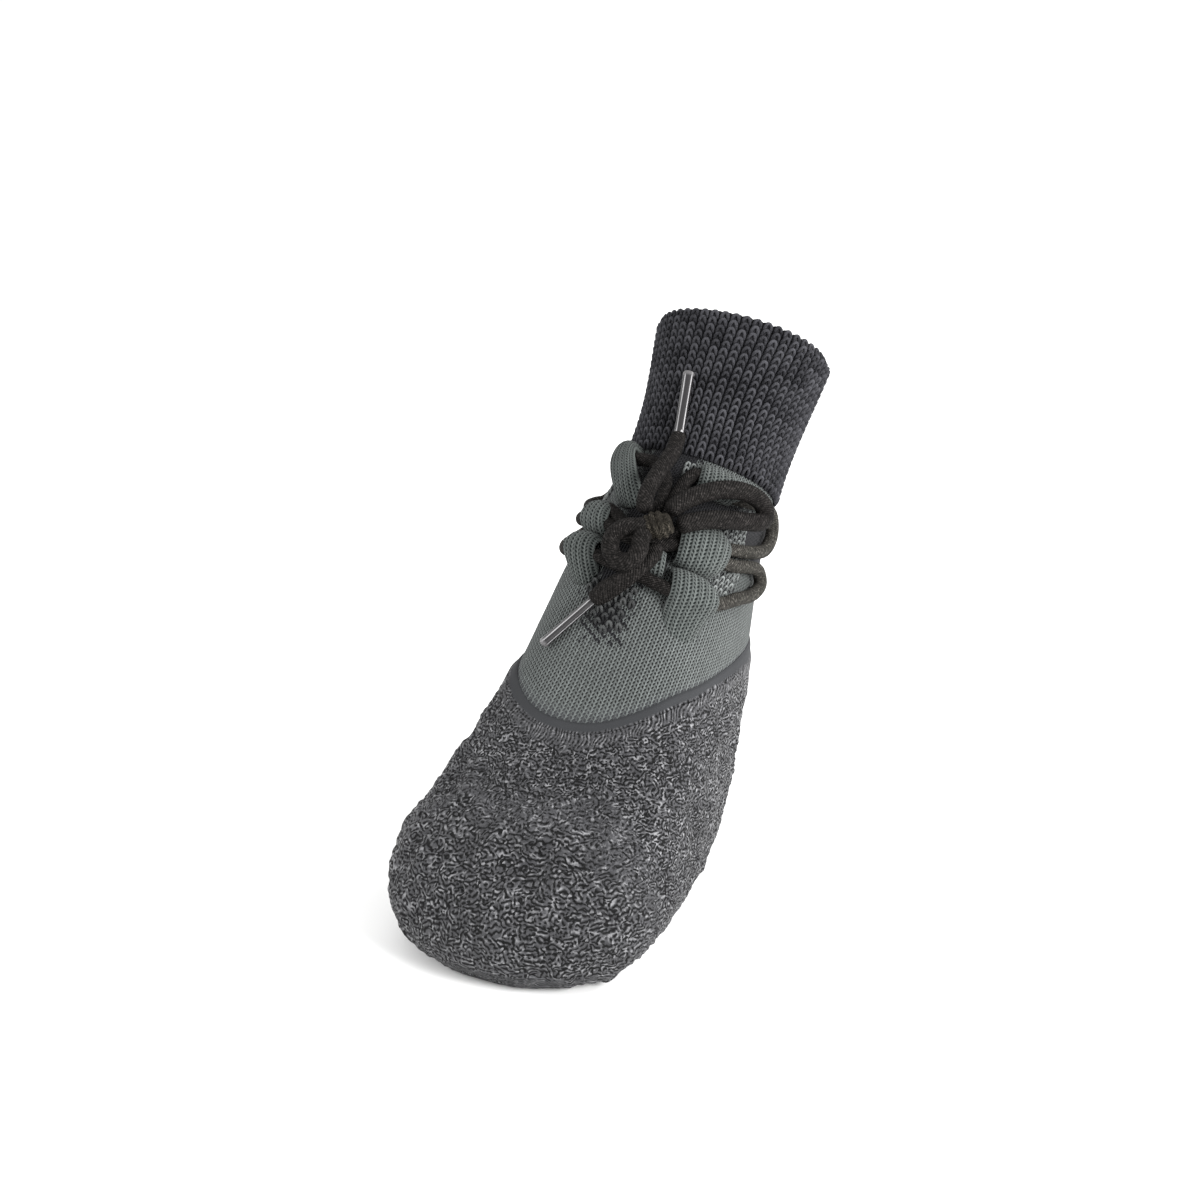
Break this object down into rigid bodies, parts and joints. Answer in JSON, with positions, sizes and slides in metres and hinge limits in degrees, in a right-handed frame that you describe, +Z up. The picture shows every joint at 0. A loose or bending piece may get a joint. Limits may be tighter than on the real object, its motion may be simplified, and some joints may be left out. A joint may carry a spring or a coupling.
{
  "type": "dog sock",
  "caption": "Dog sock boot: grey knitted sock with a charcoal ribbed cuff, a rubber-dipped sole and toe, knitted lace loops and a tied black lace.",
  "frame": {"origin": "On the resting face of the sole, on the middle plane, under the front of the ankle", "axes": "-Y is towards the toe, +Z is up, X runs across the sock and +X is the wearer's left"},
  "size_m": [0.0757, 0.1596, 0.148],
  "materials": {
    "knit": "knitted polyester yarn, plain knit on the foot and rib on the cuff",
    "loops": "knitted strips of the sock's own grey-green yarn",
    "rubber": "dipped latex with a crinkled, slightly glossy surface",
    "lace": "round braided polyester lace",
    "aglet": "clear plastic sheath shrunk over the dark lace"
  },
  "bodies": {
    "root": {"knitted_upper": "knit", "rubber_sole": "rubber", "lace_loop_left_low": "loops", "lace_loop_left_middle": "loops", "lace_loop_left_top": "loops", "lace_loop_right_low": "loops", "lace_loop_right_middle": "loops", "lace_loop_right_top": "loops", "lacing": "lace", "bow_knot": "lace", "bow_loop_left": "lace", "bow_loop_right": "lace", "lace_end_up": "lace", "lace_end_down": "lace", "aglet_up": "aglet", "aglet_down": "aglet"}
  },
  "joints": []
}
